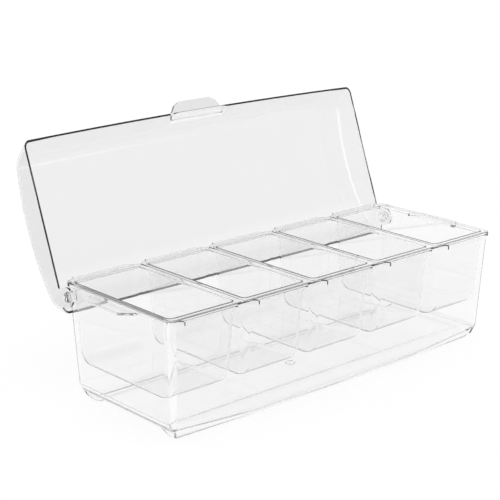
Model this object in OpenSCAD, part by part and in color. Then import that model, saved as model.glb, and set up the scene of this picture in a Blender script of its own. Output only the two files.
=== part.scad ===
// Condiment caddy: a clear bin on two rails, five lift-out inserts that
// hang on its rim, and one domed lid that swings on two studs.
// X runs along the caddy, -Y is the front, Z is up from the table.

/* [Bin] */
// Length over the rim
rim_length = 396.8; // [360:0.2:440]
// Depth over the rim, front to back
rim_depth = 144.8; // [134:0.2:160]
// Height of the rim's top above the table
bin_height = 109.1; // [96:0.1:130]
// Thickness of the rim flange
rim_thickness = 2.9; // [2:0.1:4]
// How far the rim stands out from the wall
rim_overhang = 1.5; // [1:0.1:3]
// Radius of the rim's corners, seen from above
rim_corner = 7; // [6:0.5:14]
// Thickness of the bin's walls
bin_wall = 2; // [1.6:0.1:3]
// Thickness of the bin's floor
bin_floor = 2.2; // [1.6:0.1:3.5]
// Inset of a bin wall for each millimetre down
bin_draft = 0.049; // [0.03:0.001:0.06]
// Radius between the bin's walls and its floor
bin_fillet = 9; // [6:0.5:12]

/* [Rails] */
// Height that the rails lift the floor panel to
rail_height = 8; // [5:0.5:12]
// Width of the open channel between the two rails
rail_gap = 78; // [60:1:90]
// Radius of a rail's lower outer edge
rail_round = 11; // [6:0.5:14]
// Distance from the end wall's foot to a rail's end
rail_inset = 3.5; // [2:0.5:10]
// Radius of a rail's corners, seen from above
rail_corner = 3; // [2:0.5:6]

/* [End handles] */
// Length of an end handle where it meets the rim
handle_root = 60; // [50:1:80]
// Length of an end handle at its outer edge
handle_tip = 41; // [30:1:48]
// How far the end handles lie behind the middle of the bin
handle_shift = 2; // [-5:0.5:5]
// How far an end handle stands out from the rim
handle_reach = 11.5; // [8:0.5:16]
// Length of an end handle's straight sides
handle_side = 3; // [1:0.5:6]
// Thickness of an end handle
handle_thickness = 2.2; // [1.6:0.1:3]
// Drop of an end handle below the rim's top
handle_drop = 1.9; // [1.9:0.1:3]

/* [Inserts] */
// Gap between the flanges of two neighbours
flange_gap = 0.7; // [0.4:0.1:1.5]
// Thickness of the flange that hangs on the rim
flange_thickness = 1.2; // [1:0.1:2]
// Distance from the rim's outer edge to the flange's edge, front and back
flange_setback = 0.4; // [0:0.1:2]
// Radius of the flange's corners
flange_corner = 7; // [5:0.5:12]
// Gap between the bin's end wall and the insert beside it
side_gap = 0.5; // [0.3:0.1:3]
// Gap between an insert and the bin's front and rear walls
end_gap = 3.1; // [0.5:0.1:8]
// Depth of an insert below the rim's top
insert_drop = 72; // [50:0.5:80]
// Thickness of an insert's walls
insert_wall = 1.2; // [1:0.1:1.6]
// Thickness of an insert's floor
insert_floor = 1.4; // [1:0.1:2.5]
// How much more an insert's side walls lean than the bin's, for each millimetre
side_lean = 0.004; // [0:0.001:0.03]
// How much more an insert's end walls lean than the bin's, for each millimetre
end_lean = 0; // [0:0.005:0.1]
// Radius of an insert's upright corners
insert_corner = 11; // [8:0.5:14]
// Radius of the corners of an insert's floor, seen from above
floor_corner = 4; // [2.5:0.5:7]
// Radius between an insert's side walls and its floor
side_fillet = 3; // [2:0.5:6]
// Radius between an insert's end walls and its floor
end_fillet = 14; // [8:0.5:18]
// Length of a finger tab at its outer edge
tab_tip = 56.6; // [40:0.2:58]
// Length that a finger tab gains at each end towards its root
tab_flare = 3.2; // [1:0.1:5]
// How far a finger tab stands out past the rim
tab_reach = 4.2; // [2.5:0.1:4.2]
// Height of the skirt at the tab's outer edge, below the rim's top
skirt_drop = 3.4; // [2:0.1:5]
// Thickness of that skirt
skirt_thickness = 1.4; // [1:0.1:2]

/* [Lid] */
// Thickness of the lid's shell
lid_wall = 1.8; // [1.4:0.1:2.4]
// Gap between the rim's ends and the lid's end walls
lid_side_gap = 0.5; // [0.4:0.1:1]
// How far the level lid's front edge stands out past the bin's rim
lid_front_reach = 1; // [0:0.1:3]
// Height of the dome above the lid's rim
lid_crown = 30.4; // [26:0.2:40]
// Distance from the lid's rear edge to the top of the dome
lid_crown_run = 82; // [75:1:90]
// Radius of the dome's shallow crown
lid_crown_radius = 225; // [190:1:300]
// Radius where the dome turns down into the front wall
lid_front_round = 20; // [14:0.5:24]
// Radius where the dome turns down into the rear wall
lid_rear_round = 20; // [12:0.5:24]
// Radius where the dome turns down into the end walls
lid_end_round = 6; // [4:0.5:9]
// Lean of the lid's front wall
lid_front_lean = 30; // [20:1:35]
// Lean of the lid's rear wall
lid_rear_lean = 22; // [12:1:22]
// How far the front edge bows forward in the middle
lid_bow = 2.6; // [0:0.1:5]
// Angle that the open lid stands past its level pose
lid_open = 110.3; // [100:0.1:112]

/* [Lid handle] */
// Length of the lid handle at its root
grip_root = 64; // [50:1:90]
// Length of the lid handle at its front edge
grip_tip = 37; // [24:1:46]
// How far the lid handle's sides come in towards its corners
grip_clip = 7; // [3:0.5:9]
// Depth of the lid handle's clipped corners
grip_corner = 3.3; // [1:0.1:6]
// How far the lid handle reaches past the lid's rim
grip_reach = 13.3; // [10:0.1:18]
// Thickness of the lid handle
grip_thickness = 2.3; // [1.6:0.1:3]
// Height of the lid handle's top above the lid's rim
grip_height = 9.3; // [6:0.1:12]

/* [Hinge] */
// Distance from the rim's rear edge forward to the hinge axis
hinge_setback = 6.4; // [6.4:0.1:8]
// Distance of the hinge axis below the rim's top
hinge_drop = 12; // [11:0.1:14]
// Distance from the lid's rear edge forward to the hinge axis
hinge_inset = 14.2; // [14.2:0.1:14.6]
// Distance from the lid's rim down to the hinge axis
hinge_hang = 9.6; // [9:0.1:11]
// Radius of a hinge ear
ear_radius = 8.8; // [7:0.1:9]
// Radius of a hinge stud
stud_radius = 3.7; // [3:0.05:4.2]
// Running clearance between a stud and its ear
stud_clearance = 0.05; // [0.02:0.01:0.1]
// Radius of a stud's snap head
head_radius = 4.4; // [4.3:0.1:5]
// Thickness of a stud's snap head
head_thickness = 0.9; // [0.6:0.1:1.5]
// Width of the slot that lets a snap head spring
head_slot = 1.2; // [0.8:0.1:1.6]
// Depth of that slot
slot_depth = 2.6; // [1.5:0.1:3]
// Radius of the boss that carries a stud
boss_radius = 5; // [4.5:0.1:5.5]
// Side gap between an ear and the boss or head beside it
ear_gap = 0.3; // [0.2:0.05:0.5]

/* [Hidden] */

$fn = 32;
insert_count = 5;
// thickness of the thin layers that a hull joins
layer = 0.02;
// amount that a cut runs past the face it opens
past = 1;
// depth that the lid handle's root sinks into the front wall
grip_sink = 0.3;
// smallest corner radius of a thin layer
least_corner = 0.5;
// steps in a quarter turn of a rounded edge
quarter_steps = 5;
// steps along the dome's rear round, its crown and its front round
rear_steps = 5;
crown_steps = 8;
front_steps = 6;
// slices on each side of the middle that follow the lid's bowed front
bow_steps = 4;

rim_half_x = rim_length / 2;
rim_half_y = rim_depth / 2;
rim_bottom = bin_height - rim_thickness;
wall_half_x = rim_half_x - rim_overhang;
wall_half_y = rim_half_y - rim_overhang;
wall_corner = rim_corner - rim_overhang;
panel_top = rail_height + bin_floor;

panel_bend_top = rail_height + bin_fillet;

// the inserts' flanges fill the rim from end to end
insert_pitch = (rim_length + flange_gap) / insert_count;
flange_width = insert_pitch - flange_gap;
flange_half_y = rim_half_y - flange_setback;
// outer half sizes of an insert at the height of the bin's rim
insert_half_x = flange_width / 2 - rim_overhang - bin_wall - side_gap;
insert_half_y = wall_half_y - bin_wall - end_gap;
insert_bottom = bin_height - insert_drop;
flange_top = bin_height + flange_thickness;
tab_edge = rim_half_y + tab_reach;
skirt_bottom = bin_height - skirt_drop;
// The origin is the middle of the front rail's foot. Everything is drawn about
// the bin's own middle, which lies this far behind it.
foot_back = (drafted(wall_half_y, bin_draft, 0) - rail_round + rail_gap / 2) / 2;

hinge_back = rim_half_y - hinge_setback;
hinge_z = bin_height - hinge_drop;
lid_span = hinge_inset + hinge_back + rim_half_y + lid_front_reach;
lid_in_x = rim_half_x + lid_side_gap;
lid_out_x = lid_in_x + lid_wall;
ear_hole = stud_radius + stud_clearance;
head_start = lid_out_x + ear_gap;
head_end = head_start + head_thickness;
boss_end = lid_in_x - ear_gap;
// the boss starts at the middle of the wall's round corner
boss_start = wall_half_x - wall_corner;

clear_plastic = [0.93, 0.95, 0.96, 0.35];

// half the size of a drafted wall at height z
function drafted(half_top, draft, z) = half_top - draft * (bin_height - z);

// angles of a quarter turn, in equal steps
quarter = [for (k = [0 : quarter_steps]) 90 * k / quarter_steps];

// points along an arc
function arc(centre, radius, from, to, steps) =
    [for (k = [0 : steps]) let (a = from + (to - from) * k / steps)
        centre + radius * [cos(a), sin(a)]];

// a list of points without its first and last
function inner_points(points) = [for (k = [1 : len(points) - 2]) points[k]];

// a rectangle with round corners, about the origin
module round_rect(half_x, half_y, corner) {
    square([2 * half_x, 2 * (half_y - corner)], center = true);
    square([2 * (half_x - corner), 2 * half_y], center = true);
    for (sx = [-1, 1], sy = [-1, 1]) {
        translate([sx * (half_x - corner), sy * (half_y - corner)])
            circle(r = corner);
    }
}

// how far a round edge of the given radius steps in at a rise above its foot
function edge_inset(radius, rise) =
    rise < radius ? radius - sqrt(rise * (2 * radius - rise)) : 0;

// A solid tub: drafted walls, round corners and a round lower edge, with one
// radius under its side walls and another under its end walls. corners holds
// the radius of its upright corners and the radius at its foot.
module tub(half, draft, corners, side_round, end_round, bottom, top) {
    hull() {
        translate([0, 0, top - layer])
            linear_extrude(layer)
                round_rect(drafted(half.x, draft.x, top), drafted(half.y, draft.y, top), corners[0]);
        for (radius = [side_round, end_round], a = quarter) {
            rise = radius * (1 - cos(a));
            z = bottom + rise;
            end_inset = edge_inset(end_round, rise);
            translate([0, 0, z])
                linear_extrude(layer)
                    round_rect(
                        drafted(half.x, draft.x, z) - edge_inset(side_round, rise),
                        drafted(half.y, draft.y, z) - end_inset,
                        max(corners[0] - end_inset, corners[1])
                    );
        }
    }
}

// one rail under the front edge; inside = wall thickness to step in by
module rail(inside) {
    radius = rail_round - inside;
    hull() {
        rail_slice(panel_bend_top - layer, 0, inside);
        for (a = quarter) {
            rail_slice(inside + radius * (1 - cos(a)), radius * (1 - sin(a)), inside);
        }
    }
}

// a thin slice of the front rail at height z, stepped in by inset as well
module rail_slice(z, inset, inside) {
    outer_x = drafted(wall_half_x, bin_draft, z) - rail_inset - inside - inset;
    outer_y = drafted(wall_half_y, bin_draft, z) - inside - inset;
    inner_y = rail_gap / 2 + inside;
    translate([0, -(outer_y + inner_y) / 2, z])
        linear_extrude(layer)
            round_rect(outer_x, (outer_y - inner_y) / 2, rail_corner);
}

// both rails
module rails(inside) {
    for (side = [0, 1]) {
        mirror([0, side, 0])
            rail(inside);
    }
}

// end handle on the right: a plate with clipped corners
module end_handle() {
    root_x = wall_half_x - bin_wall / 2;
    tip_x = rim_half_x + handle_reach;
    clip_x = rim_half_x + handle_side;
    translate([0, handle_shift, bin_height - handle_drop - handle_thickness])
        linear_extrude(handle_thickness)
            polygon([
                [root_x, -handle_root / 2], [clip_x, -handle_root / 2], [tip_x, -handle_tip / 2],
                [tip_x, handle_tip / 2], [clip_x, handle_root / 2], [root_x, handle_root / 2]
            ]);
}

// hinge stud on the right end: boss, shaft and split snap head
module stud() {
    translate([boss_start, hinge_back, hinge_z])
        rotate([0, 90, 0])
            cylinder(r = boss_radius, h = boss_end - boss_start);
    difference() {
        union() {
            translate([boss_end - past, hinge_back, hinge_z])
                rotate([0, 90, 0])
                    cylinder(r = stud_radius, h = head_end - boss_end + past);
            translate([head_start, hinge_back, hinge_z])
                rotate([0, 90, 0])
                    cylinder(r = head_radius, h = head_thickness);
        }
        translate([head_end - slot_depth, hinge_back - head_slot / 2, hinge_z - head_radius - past])
            cube([slot_depth + past, head_slot, 2 * (head_radius + past)]);
    }
}

module bin() {
    color(clear_plastic) {
        difference() {
            union() {
                tub([wall_half_x, wall_half_y], [bin_draft, bin_draft], [wall_corner, least_corner],
                    bin_fillet, bin_fillet, rail_height, bin_height);
                rails(0);
                translate([0, 0, rim_bottom])
                    linear_extrude(rim_thickness)
                        round_rect(rim_half_x, rim_half_y, rim_corner);
                for (side = [0, 1]) {
                    mirror([side, 0, 0]) {
                        end_handle();
                        stud();
                    }
                }
            }
            tub([wall_half_x - bin_wall, wall_half_y - bin_wall], [bin_draft, bin_draft],
                [wall_corner - bin_wall, least_corner], bin_fillet - bin_wall, bin_fillet - bin_wall,
                panel_top, bin_height + past);
            rails(bin_floor);
        }
    }
}

// finger tab at the front of an insert, with its skirt
module finger_tab() {
    root = flange_half_y - skirt_thickness;
    root_half = tab_tip / 2 + tab_flare;
    translate([0, 0, bin_height])
        linear_extrude(flange_thickness)
            polygon([
                [-root_half, -root], [-root_half, -flange_half_y], [-tab_tip / 2, -tab_edge],
                [tab_tip / 2, -tab_edge], [root_half, -flange_half_y], [root_half, -root]
            ]);
    translate([-tab_tip / 2, -tab_edge, skirt_bottom])
        cube([tab_tip, skirt_thickness, flange_top - skirt_bottom]);
}

// one insert, about its own middle
module insert() {
    half = [insert_half_x, insert_half_y];
    draft = [bin_draft + side_lean, bin_draft + end_lean];
    step = [insert_wall, insert_wall];
    difference() {
        union() {
            tub(half, draft, [insert_corner, floor_corner], side_fillet, end_fillet,
                insert_bottom, flange_top);
            translate([0, 0, bin_height])
                linear_extrude(flange_thickness)
                    round_rect(flange_width / 2, flange_half_y, flange_corner);
            for (side = [0, 1]) {
                mirror([0, side, 0])
                    finger_tab();
            }
        }
        tub(half - step, draft, [insert_corner - insert_wall, floor_corner - insert_wall],
            side_fillet - insert_wall, end_fillet - insert_wall,
            insert_bottom + insert_floor, flange_top + past);
    }
}

// the insert in place number index, counted from the left end
module placed_insert(index) {
    color(clear_plastic)
        translate([(index - (insert_count + 1) / 2) * insert_pitch, 0, 0])
            insert();
}

// The lid is drawn level, with the hinge axis at the origin: Y runs back and
// Z up. Its outline is worked out as [run, rise]: run forward from the rear
// edge of the lid's rim, and rise above that rim.

// centre of the dome's crown, a shallow arc
crown_centre = [lid_crown_run, lid_crown - lid_crown_radius];

// a leaning wall's run at a given rise, where the wall touches a round
function wall_run(centre, radius, lean, rise, side) =
    centre.x + side * (radius - (rise - centre.y) * sin(lean)) / cos(lean);

// Centre of the round that touches both the crown and a wall. The wall leans
// inward by lean degrees from a foot at run = foot; side is -1 for the rear
// wall and 1 for the front wall.
function round_centre(foot, radius, lean, side) =
    let (
        start = [foot - side * radius / cos(lean), 0] - crown_centre,
        step = [-side * tan(lean), 1],
        reach = lid_crown_radius - radius,
        half = start * step / (step * step),
        rise = -half + sqrt(half * half - (start * start - reach * reach) / (step * step))
    )
    crown_centre + start + rise * step;

// angle of a point about the crown's centre
function crown_angle(point) = atan2(point.y - crown_centre.y, point.x - crown_centre.x);

// the dome's outline, stepped in by inset, from a foot below or on the rim;
// bow moves the front wall forward
function dome(inset, bow, foot) =
    let (
        rear = round_centre(0, lid_rear_round, lid_rear_lean, -1),
        front = round_centre(lid_span + bow, lid_front_round, lid_front_lean, 1),
        rear_turn = crown_angle(rear),
        front_turn = crown_angle(front),
        rear_radius = lid_rear_round - inset,
        front_radius = lid_front_round - inset,
        crown = lid_crown_radius - inset
    )
    concat(
        [[wall_run(rear, rear_radius, lid_rear_lean, foot, -1), foot]],
        arc(rear, rear_radius, 180 - lid_rear_lean, rear_turn, rear_steps),
        inner_points(arc(crown_centre, crown, rear_turn, front_turn, crown_steps)),
        arc(front, front_radius, front_turn, lid_front_lean, front_steps),
        [[wall_run(front, front_radius, lid_front_lean, foot, 1), foot]]
    );

// a thin slice of the dome at x
module dome_slice(x, inset, bow, foot) {
    translate([x, hinge_inset, hinge_hang])
        rotate([90, 0, 90])
            linear_extrude(layer, center = true)
                mirror([1, 0])
                    polygon(dome(inset, bow, foot));
}

// the dome as a solid with round ends; inside = wall thickness to step in by
module dome_solid(inside, foot) {
    end_round = lid_end_round - inside;
    straight = lid_out_x - lid_end_round;
    hull() {
        for (part = [-bow_steps : bow_steps]) {
            share = part / bow_steps;
            dome_slice(straight * share, inside, lid_bow * (1 - share * share), foot);
        }
        for (side = [-1, 1], a = quarter) {
            dome_slice(side * (straight + end_round * sin(a)), inside + end_round * (1 - cos(a)), 0, foot);
        }
    }
}

// lid handle: a flat tab with clipped corners, its root inside the front wall
module lid_grip() {
    root = lid_span + lid_bow - grip_height * tan(lid_front_lean) - grip_sink;
    tip = lid_span + grip_reach;
    clip = tip - grip_corner;
    half_clip = grip_root / 2 - grip_clip;
    translate([0, hinge_inset, hinge_hang + grip_height - grip_thickness])
        mirror([0, 1, 0])
            linear_extrude(grip_thickness)
                polygon([
                    [-grip_root / 2, root], [-grip_root / 2, lid_span], [-half_clip, clip],
                    [-grip_tip / 2, tip], [grip_tip / 2, tip],
                    [half_clip, clip], [grip_root / 2, lid_span], [grip_root / 2, root]
                ]);
}

// hinge ear on the right end, with its hole
module ear() {
    translate([lid_in_x, 0, 0]) {
        rotate([0, 90, 0])
            cylinder(r = ear_radius, h = lid_wall);
        translate([0, -ear_radius, 0])
            cube([lid_wall, 2 * ear_radius, hinge_hang + lid_wall]);
    }
}

// the lid, level, with the hinge axis at the origin
module level_lid() {
    difference() {
        union() {
            difference() {
                dome_solid(0, 0);
                dome_solid(lid_wall, -past);
            }
            lid_grip();
            for (side = [0, 1]) {
                mirror([side, 0, 0])
                    ear();
            }
        }
        translate([-lid_out_x - past, 0, 0])
            rotate([0, 90, 0])
                cylinder(r = ear_hole, h = 2 * (lid_out_x + past));
    }
}

module lid() {
    color(clear_plastic)
        translate([0, hinge_back, hinge_z])
            rotate([-lid_open, 0, 0])
                level_lid();
}

// what is drawn about the bin's middle, moved to its place behind the origin
module in_place() {
    translate([0, foot_back, 0])
        children();
}

in_place() bin();
in_place() lid();
in_place() placed_insert(1);  // insert_1
in_place() placed_insert(2);  // insert_2
in_place() placed_insert(3);  // insert_3
in_place() placed_insert(4);  // insert_4
in_place() placed_insert(5);  // insert_5
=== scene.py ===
import math
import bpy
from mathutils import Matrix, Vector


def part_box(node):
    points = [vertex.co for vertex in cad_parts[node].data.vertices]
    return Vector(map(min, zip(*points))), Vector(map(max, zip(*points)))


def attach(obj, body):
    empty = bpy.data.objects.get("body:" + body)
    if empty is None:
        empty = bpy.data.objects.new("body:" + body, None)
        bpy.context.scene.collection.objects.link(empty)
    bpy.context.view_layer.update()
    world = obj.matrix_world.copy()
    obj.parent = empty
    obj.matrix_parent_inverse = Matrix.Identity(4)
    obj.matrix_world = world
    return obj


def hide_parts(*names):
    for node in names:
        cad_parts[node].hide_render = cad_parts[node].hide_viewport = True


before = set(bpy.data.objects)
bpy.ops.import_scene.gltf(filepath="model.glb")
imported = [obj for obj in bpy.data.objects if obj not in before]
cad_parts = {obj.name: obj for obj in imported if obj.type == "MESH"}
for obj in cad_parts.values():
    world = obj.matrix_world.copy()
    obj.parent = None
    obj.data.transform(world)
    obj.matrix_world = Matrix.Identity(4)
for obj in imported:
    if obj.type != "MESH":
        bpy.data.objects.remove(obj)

from types import SimpleNamespace

import bmesh
import bpy
import numpy as np
from bpy.props import FloatProperty, FloatVectorProperty, PointerProperty
from bpy.types import Operator, Panel, PropertyGroup
from mathutils import Matrix, Vector

bl_info = {
    "name": "Clear condiment caddy",
    "version": (1, 0, 0),
    "blender": (4, 5, 0),
    "location": "3D View > Sidebar > Caddy",
    "description": "Builds a clear condiment caddy with its domed lid and five inserts",
    "category": "Add Mesh",
}

MM = 0.001

# Steps of a ring's corner and of a small rounded edge.
CORNER_STEPS, ROUND_STEPS = 16, 3
# Millimetres: the least radius of a ring's corner, and what counts as nothing.
LEAST_CORNER, TINY = 0.05, 1e-6

# Millimetres from an edge to the ring that keeps a surface flat: at most edges, on top of
# the bin's rim, on a wall, and inside an insert's mouth.
SUPPORT, RIM_SUPPORT, WALL_SUPPORT, LIP_SUPPORT = 0.4, 0.3, 2.0, 1.0


# ---- sizes

def amount(name, default, description, **more):
    """A property that is a plain number, from 0 up."""
    return FloatProperty(name=name, description=description, default=default, min=0.0, **more)


def length(name, default, description):
    """A length property, given in millimetres."""
    return amount(name, default * MM, description, precision=5, unit="LENGTH",
                  subtype="DISTANCE")


def angle(name, default, description):
    """An angle property, given in degrees."""
    return FloatProperty(name=name, description=description,
                         default=math.radians(default), unit="ROTATION", subtype="ANGLE")


def fraction(name, default, description):
    """A property from 0 to 1."""
    return amount(name, default, description, max=1.0, precision=4, subtype="FACTOR")


def colour(name, grey, description):
    """A colour property, first a grey."""
    return FloatVectorProperty(name=name, description=description, default=(grey,) * 3,
                               size=3, min=0.0, max=1.0, subtype="COLOR")


class CaddyBinSizes(PropertyGroup):
    half_x: length("Rim half length", 198.4, "Half the length over the rim")
    half_y: length("Rim half depth", 72.4, "Half the depth over the rim")
    top: length("Height", 109.1, "Height of the rim's top above the table")
    rim: length("Rim thickness", 2.9, "Thickness of the rim")
    edge: length("Lower edge", 0.7, "Radius of the rim's and handles' lower edges")
    top_edge: length("Upper edge", 0.25, "Radius of the rim's and handles' upper edges")
    overhang: length("Rim overhang", 1.5, "How far the rim stands out")
    corner: length("Rim corner", 7.0, "Radius of the rim's corners")
    wall: length("Wall", 2.0, "Thickness of the walls")
    floor: length("Floor", 2.2, "Thickness of the floor")
    draft: fraction("Draft", 0.049, "Inset of a wall for each unit down")
    fillet: length("Fillet", 9.0, "Radius between the walls and the floor panel")
    rail_height: length("Rail height", 8.0, "Height of the floor panel's underside")
    rail_gap: length("Rail gap", 47.0, "Distance from the middle to a rail")
    rail_soft: length("Rail softness", 5.0, "Half the width of the step up from a rail")
    rail_round: length("Rail round", 11.0, "Radius of a rail's lower outer edge")
    rail_inset: length("Rail inset", 3.5, "Distance from an end wall's foot to a rail")
    rail_corner: length("Rail corner", 6.0, "Radius of a rail's corners")
    handle_root: length("Handle root", 60.0, "Length of an end handle at the rim")
    handle_tip: length("Handle tip", 41.0, "Length of an end handle at its outer edge")
    handle_shift: length("Handle shift", 2.0, "How far back the end handles lie")
    handle_reach: length("Handle reach", 11.5, "How far an end handle stands out")
    handle_side: length("Handle side", 3.0, "Straight length of an end handle's sides")
    handle_thickness: length("Handle thickness", 2.2, "Thickness of an end handle")
    handle_drop: length("Handle drop", 1.9, "Drop of an end handle below the rim's top")


class CaddyInsertSizes(PropertyGroup):
    pitch: length("Pitch", 79.5, "Distance from one insert to the next")
    flange_x: length("Flange half width", 39.4, "Half the width of the flange")
    flange_y: length("Flange half depth", 72.0, "Half the depth of the flange")
    flange_corner: length("Flange corner", 7.0, "Radius of the flange's corners")
    flange: length("Flange thickness", 1.2, "Thickness of the flange")
    edge: length("Edge", 0.4, "Radius of the flange's edges")
    seat: length("Seat clearance", 0.05, "Clearance under the flange")
    half_x: length("Half width", 35.4, "Half the width at the rim's height")
    half_y: length("Half depth", 65.8, "Half the depth at the rim's height")
    drop: length("Depth", 72.0, "Depth below the rim's top")
    wall: length("Wall", 1.2, "Thickness of the walls")
    floor: length("Floor", 1.4, "Thickness of the floor")
    side_draft: fraction("Side draft", 0.053, "Inset of a side wall for each unit down")
    end_draft: fraction("End draft", 0.049, "Inset of an end wall for each unit down")
    corner: length("Corner", 6.0, "Radius of the upright corners")
    floor_corner: length("Floor corner", 4.0, "Radius of the floor's corners")
    side_fillet: length("Side fillet", 3.0, "Radius between the side walls and the floor")
    end_fillet: length("End fillet", 14.0, "Radius between the end walls and the floor")
    tab_root: length("Tab root", 31.5, "Half a finger tab's length at its root")
    tab_tip: length("Tab tip", 28.3, "Half a finger tab's length at its edge")
    tab_reach: length("Tab reach", 4.6, "How far a finger tab stands out")
    tab_round: length("Tab round", 1.6, "Radius of a finger tab's corners")
    skirt_drop: length("Skirt drop", 3.4, "Depth of a tab's skirt below the rim's top")
    skirt: length("Skirt thickness", 1.4, "Thickness of the skirt")


class CaddyLidSizes(PropertyGroup):
    half_x: length("Half length", 200.7, "Half the length over the lid")
    wall: length("Wall", 1.8, "Thickness of the shell")
    span: length("Span", 153.6, "Depth of the lid's rim from rear to front")
    crown: length("Crown", 30.4, "Height of the dome above the lid's rim")
    crown_run: length("Crown run", 82.0, "Distance from the rear edge to the dome's top")
    crown_radius: length("Crown radius", 225.0, "Radius of the shallow crown")
    front_round: length("Front round", 20.0, "Radius between the crown and the front wall")
    rear_round: length("Rear round", 20.0, "Radius between the crown and the rear wall")
    end_round: length("End round", 6.0, "Radius between the crown and an end wall")
    front_lean: angle("Front lean", 30.0, "Lean of the front wall")
    rear_lean: angle("Rear lean", 22.0, "Lean of the rear wall")
    bow: length("Bow", 2.6, "How far the front edge bows forward")
    inset: length("Hinge inset", 14.2, "Distance from the rear edge to the hinge axis")
    hang: length("Hinge hang", 9.6, "Drop of the hinge axis below the lid's rim")
    axis_y: length("Hinge place", 66.0, "How far back the hinge axis lies")
    axis_z: length("Hinge height", 97.1, "Height of the hinge axis")
    open: angle("Open", 110.3, "Turn of the open lid from its level pose")
    ear: length("Ear", 8.8, "Radius of a hinge ear")
    hole: length("Ear hole", 3.75, "Radius of the hole in an ear")
    stud: length("Stud", 3.7, "Radius of a hinge stud")
    head: length("Stud head", 4.4, "Radius of a stud's snap head")
    head_length: length("Head length", 0.9, "Length of a stud's snap head")
    boss: length("Stud boss", 5.0, "Radius of a stud's boss")
    gap: length("Ear gap", 0.3, "Gap on each side of an ear")
    slot: length("Stud slot", 1.2, "Width of the slot that splits a stud")
    grip_root: length("Grip root", 64.0, "Length of the lid handle at its root")
    grip_tip: length("Grip tip", 37.0, "Length of the lid handle at its front edge")
    grip_clip: length("Grip clip", 7.0, "How far the handle's sides come in")
    grip_corner: length("Grip corner", 3.3, "Depth of the handle's clipped corners")
    grip_reach: length("Grip reach", 13.3, "How far the handle reaches past the rim")
    grip_thickness: length("Grip thickness", 2.3, "Thickness of the handle")
    grip_height: length("Grip height", 9.3, "Height of the handle's top above the rim")


class CaddyFinish(PropertyGroup):
    bin_tint: colour("Bin plastic", 0.983, "Colour of the bin's plastic")
    insert_tint: colour("Insert plastic", 0.975, "Colour of the inserts' plastic")
    lid_tint: colour("Lid plastic", 0.845, "Colour of the lid's plastic")
    index: amount("Index", 1.49, "Refractive index of the plastic")
    base_rough: fraction("Base roughness", 0.10, "Roughness of the bin's base")
    fine_ripple: fraction("Fine ripple", 0.0015, "Ripple on the bin and the inserts")
    lid_ripple: fraction("Lid ripple", 0.003, "Ripple on the lid")


class CaddyStage(PropertyGroup):
    floor_colour: colour("Floor", 0.94, "Colour of the floor")
    floor_reach: length("Floor reach", 6000.0, "Radius of the floor")
    glow: fraction("Floor glow", 0.13, "Light that makes the floor white")
    card: amount("Card", 1.5, "Mirrored light of the card on the floor")
    box: amount("Light box", 3.0, "Mirrored light of the box low in front")
    soft_light: fraction("Soft light", 0.95, "Light on what is matt")
    overhead: fraction("Overhead", 0.2, "Mirrored light overhead")
    azimuth: angle("Azimuth", 42.02, "How far left the camera stands")
    elevation: angle("Elevation", 16.60, "How far the camera looks down")
    roll: angle("Roll", 0.09, "Roll of the camera")
    distance: length("Distance", 1267.65, "Distance of the camera")
    look_left: length("Look left", 49.04, "How far left of the middle it looks")
    look_height: length("Look height", 124.24, "Height that it looks at")
    lens: amount("Lens", 103.1, "Focal length on a 36 mm sensor", unit="CAMERA")


def shown(group):
    """The properties of a group that this add-on gives it."""
    return [p for p in group.bl_rna.properties if p.identifier not in ("rna_type", "name")]


def sizes(group):
    """The lengths of a property group in millimetres, its other numbers as they are."""
    return SimpleNamespace(**{
        p.identifier: getattr(group, p.identifier) / (MM if p.unit == "LENGTH" else 1.0)
        for p in shown(group)})


# ---- surfaces

def turn(first, last, steps):
    """Angles in radians from first to last degrees, in equal steps."""
    return np.radians(np.linspace(first, last, steps + 1))


def soft_path(points, radii, steps=4):
    """A path with its corners rounded. At a corner the arc of radius r starts
    r tan(turn / 2) before it, ends as far after it, and is centred on the bisector."""
    points = np.array(points, float)
    out = [points[:1]]
    for here, before, after, radius in zip(points[1:-1], points[:-2], points[2:], radii):
        a = (before - here) / np.linalg.norm(before - here)
        b = (after - here) / np.linalg.norm(after - here)
        half = math.acos(np.clip(a @ b, -1, 1)) / 2
        centre = here + (a + b) / np.linalg.norm(a + b) * radius / math.sin(half)
        reach = radius / math.tan(half)
        start, end = here + a * reach - centre, here + b * reach - centre
        share = np.linspace(0, 1, steps + 1)[:, None]
        sweep = math.pi - 2 * half
        arc = (np.sin((1 - share) * sweep) * start + np.sin(share * sweep) * end) / math.sin(sweep)
        out.append(centre + arc)
    return np.concatenate(out + [points[-1:]])


def ring(half_x, half_y, corner, z, side=(), end=(), side_out=0.0, end_out=0.0,
         side_z=0.0, end_z=0.0, support=SUPPORT):
    """One closed ring round the z axis, anticlockwise from above: a rectangle of
    half_x by half_y with round corners. side and end hold the places of extra
    points on the long and short sides, where *_out moves them outwards and *_z
    raises them."""
    corner = max(corner, LEAST_CORNER)
    flat_x, flat_y = half_x - corner - support, half_y - corner - support
    side, end = np.asarray(side, float), np.asarray(end, float)
    sx, ey = (np.concatenate([[-flat], np.clip(places, -flat, flat), [flat]])
              for places, flat in ((side, flat_x), (end, flat_y)))
    so, sz = (np.pad(np.broadcast_to(v, side.shape), 1) for v in (side_out, side_z))
    eo, ez = (np.pad(np.broadcast_to(v, end.shape), 1) for v in (end_out, end_z))
    a = turn(0, 90, CORNER_STEPS)
    cx, cy = half_x - corner, half_y - corner
    c, s = corner * np.cos(a), corner * np.sin(a)
    none = np.zeros_like(a)
    x = np.concatenate([sx, cx + s, half_x + eo, cx + c,
                        sx[::-1], -cx - s, -half_x - eo[::-1], -cx - c])
    y = np.concatenate([-half_y - so, -cy - c, ey, cy + s,
                        half_y + so[::-1], cy + c, ey[::-1], -cy - s])
    lift = np.concatenate([sz, none, ez, none, sz[::-1], none, ez[::-1], none])
    return np.stack([x, y, z + lift], -1)


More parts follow.
